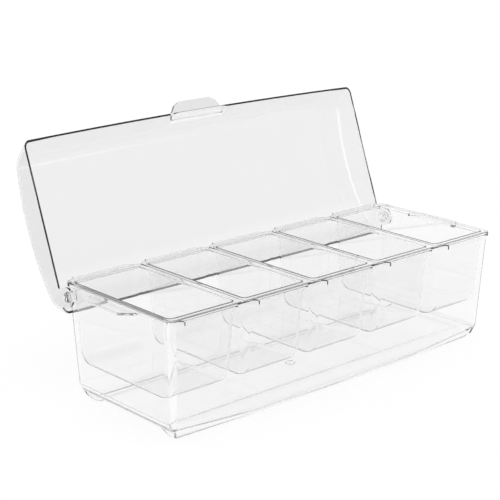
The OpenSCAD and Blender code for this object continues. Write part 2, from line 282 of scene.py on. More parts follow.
def loft(rings):
    """Points and faces of the surface through rings, from the first, closed below,
    to the last, closed above."""
    rings = np.array(rings)
    count, around = rings.shape[:2]
    points = rings.reshape(-1, 3)
    i = np.arange(around)
    low = np.arange(count - 1)[:, None] * around
    quads = np.stack([low + i, low + (i + 1) % around,
                      low + around + (i + 1) % around, low + around + i], -1).reshape(-1, 4)
    return points, quads.tolist() + [i[::-1].tolist(), ((count - 1) * around + i).tolist()]


# Millimetres within which points are one, and degrees from which edges are sharp.
SAME, SHARP_ANGLE = 0.002, 35


def bin_middle():
    """Place of the bin's middle in the frame: pieces are drawn about it."""
    low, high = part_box("bin")
    return np.array([(low.x + high.x) / 2, (low.y + high.y) / 2, 0.0])


def new_piece(name, mesh):
    """An object for a mesh, at the origin."""
    piece = bpy.data.objects.new(name, mesh)
    bpy.context.scene.collection.objects.link(piece)
    return piece


def new_body(name, points, faces):
    """A closed body from points in millimetres about the bin's middle, with its doubles
    merged and its faces turned outwards."""
    mesh = bpy.data.meshes.new(name)
    mesh.from_pydata(np.asarray(points) * MM + bin_middle(), [], faces)
    work = bmesh.new()
    work.from_mesh(mesh)
    bmesh.ops.remove_doubles(work, verts=work.verts, dist=SAME * MM)
    bmesh.ops.dissolve_degenerate(work, edges=work.edges, dist=SAME * MM)
    bmesh.ops.recalc_face_normals(work, faces=work.faces)
    if any(len(edge.link_faces) != 2 for edge in work.edges):
        raise RuntimeError(f"{name} is not closed")
    work.to_mesh(mesh)
    work.free()
    return new_piece(name, mesh)


def combine(piece, other, operation):
    """Joins or cuts piece with another solid, and removes that solid."""
    change = piece.modifiers.new("joint", "BOOLEAN")
    change.operation, change.solver, change.object = operation, "MANIFOLD", other
    bpy.context.view_layer.update()
    graph = bpy.context.evaluated_depsgraph_get()
    mesh = bpy.data.meshes.new_from_object(piece.evaluated_get(graph))
    if not mesh.polygons:
        raise RuntimeError(f"{piece.name} and {other.name} don't combine")
    piece.modifiers.clear()
    piece.data = mesh
    bpy.data.objects.remove(other)


def finish_piece(piece, body, node, material):
    """Smooth shading, the material and the piece's place in the frame."""
    piece.data.shade_smooth()
    piece.data.set_sharp_from_angle(angle=math.radians(SHARP_ANGLE))
    even = piece.modifiers.new("even normals", "WEIGHTED_NORMAL")
    even.keep_sharp = True
    piece.data.materials.clear()
    piece.data.materials.append(material)
    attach(piece, body)
    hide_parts(node)


def edge_round(e, z, radius, start, end):
    """Steps of a rounded edge as (offset, height) pairs: an arc of the radius about (e, z),
    from start to end degrees."""
    a = turn(start, end, ROUND_STEPS)
    return list(zip(e + radius * np.cos(a), z + radius * np.sin(a)))


# ---- insert

def edge_inset(radius, rise):
    """How far a round edge steps in at a rise above its foot: r - sqrt(rise (2 r - rise))."""
    rise = np.minimum(rise, radius)
    return radius - np.sqrt(rise * (2 * radius - rise))


# Drop below an insert's flange and step outwards, in millimetres, of the rings that
# round its root.
FLANGE_ROOT = ((1.2, 0.0), (0.3, 0.0), (0.09, 0.09), (0.0, 0.3), (0.0, 0.7))
# Steps of the rounds from an insert's side and end walls to its floor.
FOOT_STEPS = (4, 12)


def insert_rings(s):
    """Rings of an insert, from the middle of its underside up its outer wall, over
    the flange and its tabs, and down inside to the floor."""
    bottom, top = s.bin_top - s.drop, s.bin_top + s.flange
    under = s.bin_top + s.seat
    hx = lambda z: s.half_x - s.side_draft * (s.bin_top - z)
    hy = lambda z: s.half_y - s.end_draft * (s.bin_top - z)
    half = soft_path([(s.tab_root, 0), (s.tab_tip, s.tab_reach), (0, s.tab_reach)],
                     [s.tab_round])[:-1]
    half = np.concatenate([[(s.tab_root + SUPPORT, 0)], half, half[-1:]])
    deep = np.zeros(len(half))
    deep[-1] = 1
    mark = np.concatenate([-half[:, 0], half[::-1, 0]])
    out = np.concatenate([half[:, 1], half[::-1, 1]])
    deep = np.concatenate([deep, deep[::-1]])
    rings = []

    def wall(z, inset, corner, thick):
        rings.append(ring(hx(z) - inset - thick, hy(z) - inset - thick, corner, z, side=mark))

    def foot(z, rise, thick, inward=0.0):
        side = edge_inset(s.side_fillet - thick, rise) + inward
        end = edge_inset(s.end_fillet - thick, rise) + inward
        share = min(end / s.end_fillet, 1.0)
        corner = s.corner + (s.floor_corner - s.corner) * share - thick
        rings.append(ring(hx(z) - side - thick, hy(z) - end - thick, corner, z, side=mark))

    def rises(thick):
        """Heights of the steps round both of the foot's fillets."""
        steps = [(fillet - thick) * (1 - np.cos(turn(0, 90, count)))
                 for fillet, count in zip((s.side_fillet, s.end_fillet), FOOT_STEPS)]
        return np.unique(np.round(np.concatenate(steps), 3))

    def flange(offset, z, tab=out, lift=0.0):
        rings.append(ring(s.flange_x + offset, s.flange_y + offset,
                          s.flange_corner + offset, z, side=mark, side_out=tab, side_z=lift))

    foot(bottom, 0, 0, SUPPORT)
    for rise in rises(0):
        foot(bottom + rise, rise, 0)
    wall(bottom + s.end_fillet + SUPPORT, 0, s.corner, 0)
    for drop, outward in FLANGE_ROOT:
        wall(under - drop, -outward, s.corner, 0)
    r = s.edge
    skirt = (s.bin_top - s.skirt_drop - under) * deep
    inner = np.minimum(out, s.tab_reach - s.skirt + r)
    flange(-r, under, inner)
    flange(-r, under, inner, skirt)
    for e, z in edge_round(-r, r, r, -90, 0):
        flange(e, under + z, out, skirt)
    for e, z in edge_round(-r, -r, r, 0, 90):
        flange(e, top + z, out)
    ci = s.corner - s.wall
    wall(top, -r - SUPPORT, ci, s.wall)
    for e, z in edge_round(-r, -r, r, 90, 0):
        wall(top + z, e, ci, s.wall)
    wall(top - r - LIP_SUPPORT, 0, ci, s.wall)
    floor = bottom + s.floor
    wall(floor + s.end_fillet - s.wall + SUPPORT, 0, ci, s.wall)
    for rise in rises(s.wall)[::-1]:
        foot(floor + rise, rise, s.wall)
    foot(floor, 0, s.wall, SUPPORT)
    return np.array(rings)


# ---- bin

def bowl(t, across, up, bottom):
    """Height of a rounded lower edge at distance t inside its outline: a quarter
    ellipse of the half axes across and up, then flat; endless outside the outline."""
    t = np.where(np.abs(t) < TINY, 0, t)
    share = np.clip((across - t) / across, 0, 1)
    return np.where(t < 0, np.inf, bottom + up * (1 - np.sqrt(1 - share ** 2)))


def bottom_height(x, y, step, foot_x, foot_y, corner, fillet, panel, rail):
    """Height of the lower surface at x, y: the lower of the tub's own round edge and
    the rail's, and between the rails the tub's alone; the step from one to the other
    is s^2 (3 - 2 s). Distances to a round corner of radius c are c minus the distance
    from its centre; to the rail's corner, they solve (u - dx)^2 + (u - dy)^2 = c^2."""
    dx, dy = foot_x - np.abs(x), foot_y - np.abs(y)
    near = (dx < corner) & (dy < corner)
    t = np.where(near, corner - np.hypot(corner - dx, corner - dy), np.minimum(dx, dy))
    tub = bowl(t, fillet, fillet, panel)
    inset, across, up, low, c = rail
    dx = dx - inset
    root = np.sqrt(np.clip(2 * c * c - (dx - dy) ** 2, 0, None))
    t = np.where(np.abs(dx - dy) < c, (dx + dy + root) / 2 - c, np.minimum(dx, dy))
    t = np.where((np.abs(dy) < TINY) & (dx > c), 0, t)
    edge, soft = step
    s = np.clip((edge + soft - np.abs(y)) / (2 * soft), 0, 1)
    rail = np.minimum(tub, bowl(t, across, up, low))
    return rail + (tub - rail) * s * s * (3 - 2 * s)


# Steps of the rings down a rail's round at its side; near its end, shares of the way to
# it, then shares of that round.
DOWN_STEPS = 9
END_SHARES = np.array([0.0, 0.09, 0.17])
ROUND_SHARES = np.array([-0.3, 0.0, 0.02, 0.12, 0.3, 0.6, 0.85, 1.0])
# Millimetres past that round of the rail's last ring and of the first across the step up
# from it, and on to each next one; their places from its outer (1) to its inner side (-1).
LAST_RUN, FIRST_STEP, NEXT_STEP = 3, 6, 2
STEP_PLACES = np.linspace(1.0, -1.0, 9)
# Radii in millimetres of a sharp ring's corners and of an end handle's, and the places of
# the extra points on a ring's long sides.
SHARP, HANDLE_ROUNDS, SIDE_PLACES = 0.1, (2.5, 3.5, 3.5, 2.5), (-100, 0, 100)


def wall_half(s, half, z, thick):
    """Half the length or depth over a wall at height z, from that over the rim."""
    return half - s.overhang - thick - s.draft * (s.top - z)


def bottom_rings(s, end_at, inside):
    """Rings of the bin's lower surface, from the wall in to the raised panel. Each
    ring takes its height from bottom_height, and the draft then draws it in."""
    w = s.wall if inside else 0
    fillet = s.fillet - w
    panel = s.rail_height + (s.floor if inside else 0)
    start = panel + fillet
    foot_x, foot_y = (wall_half(s, half, start, w) for half in (s.half_x, s.half_y))
    corner = s.corner - s.overhang - w
    across = s.rail_round - w
    low = s.floor if inside else 0.0
    up = s.rail_round - low
    inset = s.rail_inset + (s.floor - s.wall if inside else 0)
    edge = s.rail_gap + (s.floor / 2 if inside else 0)
    soft = s.rail_soft
    rail = (inset, across, up, low, s.rail_corner)
    a = turn(90, 0, DOWN_STEPS)
    dy = np.concatenate([across * (1 - np.sin(a)), across + np.array([SUPPORT, WALL_SUPPORT])])
    reach = inset + across
    dx = np.concatenate([END_SHARES * reach, inset + ROUND_SHARES * across, [reach + LAST_RUN]])
    rings = []

    def add(in_x, half_y, sharp=False):
        c = SHARP if sharp else corner - max(in_x, foot_y - half_y)
        r = ring(foot_x - in_x, half_y, c, 0, side=SIDE_PLACES, end=end_at(edge),
                 support=SHARP if sharp else SUPPORT)
        z = np.minimum(start, bottom_height(r[:, 0], r[:, 1], (edge, soft), foot_x, foot_y,
                                            corner, fillet, panel, rail))
        r[:, 2] = z
        pull = s.draft * (start - z)
        r[:, 0] *= 1 - pull / foot_x
        beyond = np.clip(np.abs(r[:, 1]) - edge, 0, None)
        r[:, 1] = np.sign(r[:, 1]) * (np.abs(r[:, 1]) - beyond * pull / (foot_y - edge))
        rings.append(r)

    for in_x, in_y in zip(dx, dy):
        add(in_x, foot_y - in_y)
    for k, place in enumerate(STEP_PLACES):
        add(reach + FIRST_STEP + NEXT_STEP * k, edge + soft * place, sharp=True)
    return rings


def bin_rings(s):
    """Rings of the bin, from the middle of its underside over the rails, up the wall,
    round the rim and the end handles, and down inside to the floor panel."""
    half, tip, shift = s.handle_root / 2, s.handle_tip / 2, s.handle_shift
    rim = s.half_x
    side_x, tip_x = rim + s.handle_side, rim + s.handle_reach
    path = soft_path([(rim, -half), (side_x, -half), (tip_x, -tip),
                      (tip_x, tip), (side_x, half), (rim, half)], HANDLE_ROUNDS)
    path[:, 1] += shift
    handle = np.concatenate([path[:1], path, path[-1:]])
    out = handle[:, 0] - rim
    held = np.ones(len(handle))
    held[[0, -1]] = 0
    pad = np.zeros(len(STEP_PLACES))
    soft = s.rail_soft * STEP_PLACES
    end_at = lambda edge: np.concatenate([-edge - soft, handle[:, 1], edge - soft])
    out, held = np.concatenate([pad, out, pad]), np.concatenate([pad, held, pad])
    end = end_at(s.rail_gap)
    corner = s.corner - s.overhang
    rings = bottom_rings(s, end_at, False)[::-1]

    def wall(z, w, e=0.0, end_z=0.0):
        x, y = (wall_half(s, half, z, w) + e for half in (s.half_x, s.half_y))
        rings.append(ring(x, y, corner - w + e, z, side=SIDE_PLACES, end=end, end_z=end_z))

    def flange(offset, z, end_out=0.0, end_z=0.0):
        rings.append(ring(s.half_x + offset, s.half_y + offset, s.corner + offset, z,
                          side=SIDE_PLACES, end=end, end_out=end_out, end_z=end_z))

    start = s.rail_height + s.fillet
    wall(start, 0)
    wall(start + SUPPORT, 0)
    under = s.top - s.rim
    handle_top = s.top - s.handle_drop
    handle_bottom = handle_top - s.handle_thickness
    sink = (handle_bottom - under) * held
    wall(under - WALL_SUPPORT, 0)
    wall(under, 0, end_z=sink)
    r = s.edge
    flange(-r, under, out, sink)
    for e, z in edge_round(-r, r, r, -90, 0)[1:]:
        flange(e, under + z, out, sink)
    r = s.top_edge
    flange(0, handle_top - r, out)
    for e, z in edge_round(-r, -r, r, 0, 90)[1:]:
        flange(0, handle_top + z, out + e * held)
    flange(0, handle_top, 0.0)
    for e, z in edge_round(-r, -r, r, 0, 90):
        flange(e, s.top + z)
    flange(-r - RIM_SUPPORT, s.top)
    wall(s.top, s.wall, r + RIM_SUPPORT)
    for e, z in edge_round(r, -r, r, 90, 180):
        wall(s.top + z, s.wall, e)
    wall(s.top - WALL_SUPPORT, s.wall)
    inner_start = s.rail_height + s.floor + s.fillet - s.wall
    wall(inner_start + SUPPORT, s.wall)
    wall(inner_start, s.wall)
    rings += bottom_rings(s, end_at, True)
    return np.array(rings)


def turned(profile, steps=32):
    """A solid turned about the x axis: profile holds (x, radius) pairs, from the axis
    at one end to the axis at the other, and y = radius cos(a), z = radius sin(a)."""
    profile = np.array(profile, float)
    a = np.arange(steps) * 2 * np.pi / steps
    x = np.repeat(profile[:, :1], steps, 1)
    points = np.stack([x, profile[:, 1:] * np.cos(a), profile[:, 1:] * np.sin(a)], -1)
    i, low = np.arange(steps), np.arange(len(profile) - 1)[:, None] * steps
    after = (i + 1) % steps
    quads = np.stack([low + i, low + steps + i, low + steps + after, low + after], -1)
    ends = [i.tolist(), (low[-1] + steps + i)[::-1].tolist()]
    return points.reshape(-1, 3), quads.reshape(-1, 4).tolist() + ends


def block(low, high):
    """Points and faces of a plain block, used only as a cutter."""
    grid = np.array(np.meshgrid(*zip(low, high), indexing="ij")).reshape(3, -1).T
    faces = [[0, 1, 3, 2], [4, 6, 7, 5], [0, 4, 5, 1], [2, 3, 7, 6], [0, 2, 6, 4], [1, 5, 7, 3]]
    return grid, faces


# ---- lid

# Steps along the lid, round its ends, into its walls, over its crown and round an ear;
# points along an ear's upper side.
BOW_STEPS, END_STEPS, TURN_STEPS, CROWN_STEPS, EAR_STEPS, EAR_TOP = 16, 8, 10, 24, 20, 13
# Millimetres that the inner surface's lowest points move outwards: the two lowest in
# front, how much more at the handle's root, and the lowest at the rear.
FRONT_THIN, ROOT_THIN, REAR_THIN = np.array([0.5, 0.9]), np.array([0.95, 0.65]), 0.8
# Lengths over which that fades out, at the lid's ends and at the root, and the places of
# the outlines beside the root's ends.
END_FADE, ROOT_FADE, BESIDE_ROOT = 10, 4, np.array([-3, 1])
# Radii of the lid handle's corners, and how deep its root lies in the wall.
GRIP_ROUNDS, GRIP_SINK = (3, 2.5, 2.5), 0.3


def dome_outline(s, inset, bow):
    """Outline of the dome as (run, rise), stepped in by inset: a leaning rear wall, a
    round, the shallow crown, a round and a leaning front wall. A round's centre lies
    where it touches both the crown and its wall."""
    crown = np.array([s.crown_run, s.crown - s.crown_radius])

    def round_centre(foot, radius, lean, side):
        start = np.array([foot - side * radius / math.cos(lean), 0]) - crown
        step = np.array([-side * math.tan(lean), 1])
        reach = s.crown_radius - radius
        half = (start @ step) / (step @ step)
        rise = -half + math.sqrt(half * half - (start @ start - reach * reach) / (step @ step))
        return crown + start + rise * step

    def arc(centre, radius, first, last, steps):
        a = np.linspace(first, last, steps + 1)
        return centre + radius * np.stack([np.cos(a), np.sin(a)], -1)

    def wall_run(centre, radius, lean, rise, side):
        return centre[0] + side * (radius - (rise - centre[1]) * math.sin(lean)) / math.cos(lean)

    rear = round_centre(0.0, s.rear_round, s.rear_lean, -1)
    front = round_centre(s.span + bow, s.front_round, s.front_lean, 1)
    turns = [math.atan2(*(p - crown)[::-1]) for p in (rear, front)]
    rear_r, front_r = s.rear_round - inset, s.front_round - inset
    low = np.array([0.0, SUPPORT])
    high = low[::-1]
    rear_wall = np.stack([wall_run(rear, rear_r, s.rear_lean, low, -1), low], -1)
    front_wall = np.stack([wall_run(front, front_r, s.front_lean, high, 1), high], -1)
    return np.concatenate([
        rear_wall,
        arc(rear, rear_r, math.pi - s.rear_lean, turns[0], TURN_STEPS),
        arc(crown, s.crown_radius - inset, turns[0], turns[1], CROWN_STEPS)[1:-1],
        arc(front, front_r, turns[1], s.front_lean, TURN_STEPS),
        front_wall])


def dome_shell(s, inside):
    """Grid of the dome's surface: outlines at x = straight * share, whose front bows by
    bow (1 - share^2), and at each end a quarter turn where the outline steps in by
    end_round (1 - cos a) while x grows by end_round sin a. Inside, the lowest
    points move outwards, which thins the rear and front edges, most of all at the
    handle's root, and fades out in a straight line along x."""
    straight = s.half_x - s.end_round
    r = s.end_round - inside
    held = (s.grip_root / 2 + BESIDE_ROOT) / straight
    share = np.sort(np.concatenate([np.linspace(-1, 1, BOW_STEPS + 1), -held, held]))
    a = turn(0, 90, END_STEPS)[1:]
    beyond = straight + r * np.sin(a)
    x = np.concatenate([-beyond[::-1], straight * share, beyond])
    inset = inside + np.concatenate([(r * (1 - np.cos(a)))[::-1], 0 * share, r * (1 - np.cos(a))])
    bow = np.concatenate([0 * a, s.bow * (1 - share ** 2), 0 * a])
    lines = np.array([dome_outline(s, i, b) for i, b in zip(inset, bow)])
    thin = (inside > 0) * np.clip((straight - np.abs(x)) / END_FADE, 0, 1)[:, None]
    root = np.clip((held[1] * straight - np.abs(x)) / ROOT_FADE, 0, 1)[:, None]
    lines[:, :1, 0] -= REAR_THIN * thin
    lines[:, -2:, 0] += (FRONT_THIN + ROOT_THIN * root) * thin
    return np.concatenate([np.broadcast_to(x[:, None, None], (*lines.shape[:2], 1)), lines], -1)


def lid_surface(s):
    """Points and faces of the lid as (x, run, rise): an outer and an inner dome, the rim
    between them, and the end walls, which go on below the rim as the hinge ears."""
    outer, inner = dome_shell(s, 0.0), dome_shell(s, s.wall)
    rows, columns = outer.shape[:2]
    points = [outer.reshape(-1, 3), inner.reshape(-1, 3)]
    i, j = np.meshgrid(np.arange(rows - 1), np.arange(columns - 1), indexing="ij")
    first = (i * columns + j).ravel()
    quads = np.stack([first, first + columns, first + columns + 1, first + 1], -1)
    size = rows * columns
    faces = quads[:, ::-1].tolist() + (quads + size).tolist()
    for column, order in ((0, 1), (columns - 1, -1)):
        a = np.arange(rows - 1) * columns + column
        strip = np.stack([a, a + columns, a + columns + size, a + size], -1)
        faces += strip[:, ::order].tolist()
    centre = np.array([s.inset, -s.hang])
    a = turn(0, -180, EAR_STEPS)
    low = centre + s.ear * np.stack([np.cos(a), np.sin(a)], -1)
    top = np.linspace([outer[0, 0, 1], 0], [centre[0] + s.ear, 0], EAR_TOP)
    ear = np.concatenate([top, low])
    spoke = ear - centre
    hole = centre + s.hole * spoke / np.linalg.norm(spoke, axis=1)[:, None]
    count = size * 2
    n = np.roll(np.arange(len(ear)), -1)
    for sign in (-1, 1):
        row = 0 if sign < 0 else rows - 1
        planes = []
        for shell, base in ((outer, 0), (inner, size)):
            x = shell[row, 0, 0]
            flat = np.concatenate([ear, hole])
            points.append(np.column_stack([np.full(len(flat), x), flat]))
            dome = base + row * columns + np.arange(columns)
            e = count + np.arange(len(ear))
            h = e + len(ear)
            planes.append((dome, e, h))
            count += 2 * len(ear)
            wall = np.concatenate([dome, e[:EAR_TOP][::-1]])
            annulus = np.stack([e, e[n], h[n], h], -1)
            flip = (sign > 0) == (base == 0)
            faces.append((wall if flip else wall[::-1]).tolist())
            faces += (annulus[:, ::-1] if flip else annulus).tolist()
        (d0, e0, h0), (d1, e1, h1) = planes
        bore = np.stack([h0, h0[n], h1[n], h1], -1)
        faces += (bore[:, ::-1] if sign < 0 else bore).tolist()
        k = np.arange(EAR_TOP - 1, len(ear) - 1)
        under = np.stack([e0[k], e1[k], e1[k + 1], e0[k + 1]], -1)
        last = [[e0[-1], e1[-1], e1[0], e0[0]],
                [d0[-1], d1[-1], e1[EAR_TOP - 1], e0[EAR_TOP - 1]]]
        under = np.concatenate([under, last])
        faces += (under[:, ::-1] if sign < 0 else under).tolist()
    return np.concatenate(points), faces


def open_lid(s, points):
    """Turns (x, run, rise) points into the open lid's place: level, y = inset - run and
    z = hang + rise; then a turn by the opening angle about the hinge axis."""
    points = np.asarray(points)
    y, z = s.inset - points[:, 1], s.hang + points[:, 2]
    c, n = math.cos(s.open), math.sin(s.open)
    return np.stack([points[:, 0], s.axis_y + y * c + z * n, s.axis_z - y * n + z * c], -1)


def plate(path, low, high):
    """A flat plate between two heights, along a closed path of (x, run)."""
    return loft([np.column_stack([path, np.full(len(path), z)]) for z in (low, high)])


# ---- shaders

class Term:
    """A value inside a shader. Arithmetic on it adds the nodes that work it out."""

    def __init__(self, shader, socket):
        self.shader, self.socket = shader, socket

    def math(self, operation, *others, swap=False):
        """Any maths node on this value and others."""
        values = [self, *others]
        return self.shader.node("Math", {"operation": operation},
                                values[::-1] if swap else values)

    def smooth(self, start, end, low, high):
        """Low up to start, high from end on, and a smooth step between."""
        return self.shader.node("MapRange", {"interpolation_type": "SMOOTHSTEP"}, {
            "Value": self, "From Min": start, "From Max": end,
            "To Min": low, "To Max": high}, output="Result")

    def __add__(self, other):
        return self.math("ADD", other)

    def __rsub__(self, other):
        return self.math("SUBTRACT", other, swap=True)

    def __mul__(self, other):
        return self.math("MULTIPLY", other)


class Shader:
    """Builds one node tree."""

    def __init__(self, owner):
        owner.use_nodes = True
        self.tree = owner.node_tree
        self.tree.nodes.clear()

    def node(self, kind, settings=None, inputs=(), output=0):
        """Adds a shader node: its settings first, then values or links for its sockets,
        in order or by name."""
        node = self.tree.nodes.new("ShaderNode" + kind)
        for key, value in (settings or {}).items():
            setattr(node, key, value)
        pairs = inputs.items() if isinstance(inputs, dict) else enumerate(inputs)
        for key, value in pairs:
            if isinstance(value, Term):
                self.tree.links.new(value.socket, node.inputs[key])
            else:
                node.inputs[key].default_value = value
        return Term(self, node.outputs[output]) if node.outputs else None

    def kinds(self, *names):
        """Whether a ray is of the named kinds, as one 0 or 1 each."""
        return [self.node("LightPath", output=f"Is {name} Ray") for name in names]

    def along(self, place, direction):
        """How far a place lies along a direction."""
        return self.node("VectorMath", {"operation": "DOT_PRODUCT"},
                         [place, direction], output="Value")

    def blend(self, factor, first, second):
        """Mixes two colours."""
        return self.node("Mix", {"data_type": "RGBA"},
                         {"Factor": factor, "A": first, "B": second}, output="Result")


def paled(tint, grey=1.0, power=1.0):
    """A tint with its parts raised to a power and multiplied by a grey."""
    return (*(grey * part ** power for part in tint), 1.0)


# Scale of the ripple on the bin, the inserts and the lid; scale, strength and grey of
# the cloudiness.
BIN_WAVES, INSERT_WAVES, LID_WAVES = 14.0, 18.0, 8.0
CLOUD_WAVES, CLOUD, CLOUD_GREY = 9.0, 0.4, 0.985
# Metres: heights between which the bin's base turns smooth, heights between which the
# lid's tint turns from a paler, painted light to its own, and the place of its left end wall,
# painted light too.
BASE_HEIGHTS, EAR_HEIGHTS, END_WALL = (0.011, 0.016), (0.098, 0.110), -0.1985
# Half the length and the depth of the lid handle's root, where a paler tint paints light, in
# metres.
ROOT_HALF, ROOT_DEPTH = 0.033, 0.008
# The painted light's tint as a power of the lid's own, and the greys of the painted light at that
# root and the painted shade on the handle.
PAINTED_LIGHT_POWER, ROOT_PAINTED_LIGHT, HANDLE_PAINTED_SHADE = 0.7, 1.12, 0.90


def clear_plastic(finish, kind, ripple, waves, soft=0.0, handle=None):
    """Clear moulded plastic with a faint ripple and a little cloudiness in its tint, and
    rougher by soft at its base. On the lid, handle gives a direction and the handle's
    start along it; there light and shade are painted into the tint: paler at the ears, on
    the left end wall and at the handle's root as painted light, and greyer on the handle
    as painted shade. Light for matt things goes straight through, tinted by the tint's root."""
    tint = getattr(finish, f"{kind}_tint")
    material = bpy.data.materials.new(f"clear {kind} plastic")
    shader = Shader(material)
    place = shader.node("TexCoord", output="Object")
    flow = shader.node("TexNoise", output="Fac",
                       inputs={"Vector": place, "Scale": waves, "Detail": 1.0})
    cloud = shader.node("TexNoise", output="Fac",
                        inputs={"Vector": place, "Scale": CLOUD_WAVES, "Detail": 2.0})
    x, z = (shader.node("SeparateXYZ", inputs=[place], output=axis) for axis in "XZ")
    tone = shader.blend(cloud * CLOUD, paled(tint), paled(tint, CLOUD_GREY))
    if handle:
        direction, start = handle
        # Painted light: a paler tint at the ears and on the left end wall.
        pale = z.smooth(*EAR_HEIGHTS, 1.0, 0.0).math("MAXIMUM", x.math("LESS_THAN", END_WALL))
        tone = shader.blend(pale, tone, paled(tint, power=PAINTED_LIGHT_POWER))
        along = shader.along(place, direction)
        # Painted light: a paler tint in a band at the handle's root.
        root = (along.math("GREATER_THAN", start - ROOT_DEPTH)
                * x.math("ABSOLUTE").math("LESS_THAN", ROOT_HALF))
        tone = shader.blend(root, tone, paled(tint, ROOT_PAINTED_LIGHT))
        # Painted shade: a greyer tint on the handle.
        tone = shader.blend(along.math("GREATER_THAN", start), tone, paled(tint, HANDLE_PAINTED_SHADE))
    bump = shader.node("Bump",
                       inputs={"Strength": ripple, "Distance": 0.001, "Height": flow})
    glass = shader.node("BsdfPrincipled", inputs={
        "Roughness": z.smooth(*BASE_HEIGHTS, soft, 0.0), "IOR": finish.index,
        "Transmission Weight": 1.0, "Base Color": tone, "Normal": bump})
    lamp_way = shader.node("BsdfTransparent", inputs=[paled(tint, power=0.5)])
    shadow, diffuse = shader.kinds("Shadow", "Diffuse")
    surface = shader.node("MixShader",
                          inputs=[shadow.math("MAXIMUM", diffuse), glass, lamp_way])
    shader.node("OutputMaterial", inputs=[surface])
    return material


# The floor's depth below the feet, in metres, and the steps of its edge.
FLOOR_GAP, FLOOR_STEPS = 0.0002, 64
# The card on the floor: its direction, and from the bin's middle the place where it
# fades in, over a length, in metres.
CARD_WAY, CARD_START, CARD_FADE = (-0.742, -0.671, 0.0), (-0.200, -0.0724, 0.0), 0.02
# The light box's direction, and the cosines of the angles from it at which it starts and
# is full; sines of the heights between which the surroundings turn grey.
BOX_WAY, BOX_SPAN, GREY_SPAN = (-0.72, -0.66, 0.22), (0.78, 0.92), (0.50, 0.85)
RAYS = ("Camera", "Glossy", "Transmission", "Reflection")


def floor_material(stage):
    """Pale floor that keeps shadows and shows as white where none falls. Beyond the
    bin's front left corner it holds a bright card that only mirrors show."""
    material = bpy.data.materials.new("pale floor")
    shader = Shader(material)
    matt = shader.node("BsdfDiffuse", inputs={"Color": (*stage.floor_colour, 1.0)})
    seen, glossy, through, mirrored = shader.kinds(*RAYS)
    start = float(np.dot(CARD_WAY, bin_middle() + CARD_START))
    before = shader.along(shader.node("TexCoord", output="Object"), CARD_WAY)
    card = before.smooth(start, start + CARD_FADE, 0.0, stage.card)
    direct = seen.math("MAXIMUM", glossy.math("MAXIMUM", through))
    glow = shader.node("Emission", inputs={
        "Color": (1, 1, 1, 1), "Strength": direct * stage.glow + mirrored * card})
    both = shader.node("AddShader", inputs=[matt, glow])
    shader.node("OutputMaterial", inputs=[both])
    return material


def studio_world(world, stage):
    """White surroundings near the horizon, greyer overhead and with a light box low in
    front for what the plastic mirrors, and plain soft light for everything else."""
    shader = Shader(world)
    way = shader.node("TexCoord", output="Generated")
    height = shader.node("SeparateXYZ", inputs=[way], output="Z")
    high = height.smooth(*GREY_SPAN, 1.0, stage.overhead)
    box = shader.along(way, BOX_WAY).smooth(*BOX_SPAN, 0.0, stage.box)
    seen, glossy, through, mirrored = shader.kinds(*RAYS)
    bounced = shader.node("LightPath", output="Diffuse Depth").math("MINIMUM", 1.0)
    clear = glossy.math("MAXIMUM", through) * (1 - bounced)
    light = clear * (high + mirrored * box) + (1 - clear) * stage.soft_light
    back = shader.node("Background", inputs={
        "Color": (1, 1, 1, 1), "Strength": seen + (1 - seen) * light})
    shader.node("OutputWorld", inputs=[back])


# ---- operators

# The mould's gate mark on the floor panel, in millimetres: its place, and its profile as
# heights above the panel and radii.
GATE_PLACE = (-8.0, -9.0, 0.0)
GATE_PROFILE = ((-0.5, 4.8), (0.2, 4.8), (0.7, 4.2), (0.7, 3.3), (0.3, 2.6))
# Millimetres: start of a stud's boss past the start of the rim's corner, and the bevels
# of the boss and of the head.
BOSS_START, BOSS_BEVEL, HEAD_BEVEL = 0.6, 0.3, (0.4, 0.5)
# Reach of a stud's slot from the head's foot, back and on, and above and below.
SLOT_BACK, SLOT_ON, SLOT_HIGH = 1.7, 2.0, 6.0


def hinge_stud(bin_sizes, lid, sign):
    """A split snap stud on its boss, turned about the hinge axis, for the right (1) or
    the left end (-1) of the bin."""
    first = bin_sizes.half_x - bin_sizes.corner + BOSS_START
    last, boss = lid.half_x - lid.wall - lid.gap, lid.boss
    start, head = lid.half_x + lid.gap, lid.head
    end = start + lid.head_length
    points, faces = turned([
        (first, boss), (last - BOSS_BEVEL, boss), (last, boss - BOSS_BEVEL),
        (last, lid.stud), (start, lid.stud),
        (start, head), (end - HEAD_BEVEL[0], head), (end, head - HEAD_BEVEL[1])])
    points = points * [sign, 1, 1] + [0, lid.axis_y, lid.axis_z]
    stud = new_body("stud", points, [f[::sign] for f in faces])
    middle, half = np.array([start, lid.axis_y, lid.axis_z]), lid.slot / 2
    points, faces = block(middle - [SLOT_BACK, half, SLOT_HIGH],
                          middle + [SLOT_ON, half, SLOT_HIGH])
    slot = new_body("slot", points * [sign, 1, 1], [f[::sign] for f in faces])
    combine(stud, slot, "DIFFERENCE")
    return stud


class CADDY_OT_bin(Operator):
    """Build the bin with its rails, rim, end handles and hinge studs"""
    bl_idname = "caddy.bin"
    bl_label = "Bin"

    def execute(self, context):
        scene = context.scene
        s, finish = sizes(scene.caddy_bin), scene.caddy_finish
        piece = new_body("clear_bin", *loft(bin_rings(s)))
        for sign in (-1, 1):
            combine(piece, hinge_stud(s, sizes(scene.caddy_lid), sign), "UNION")
        panel = s.rail_height + s.floor
        points, faces = turned([(panel + rise, radius) for rise, radius in GATE_PROFILE])
        mark = new_body("gate mark", points[:, [1, 2, 0]] + GATE_PLACE, faces)
        combine(piece, mark, "UNION")
        material = clear_plastic(finish, "bin", finish.fine_ripple, BIN_WAVES,
                                 soft=finish.base_rough)
        finish_piece(piece, "bin", "bin", material)
        return {"FINISHED"}


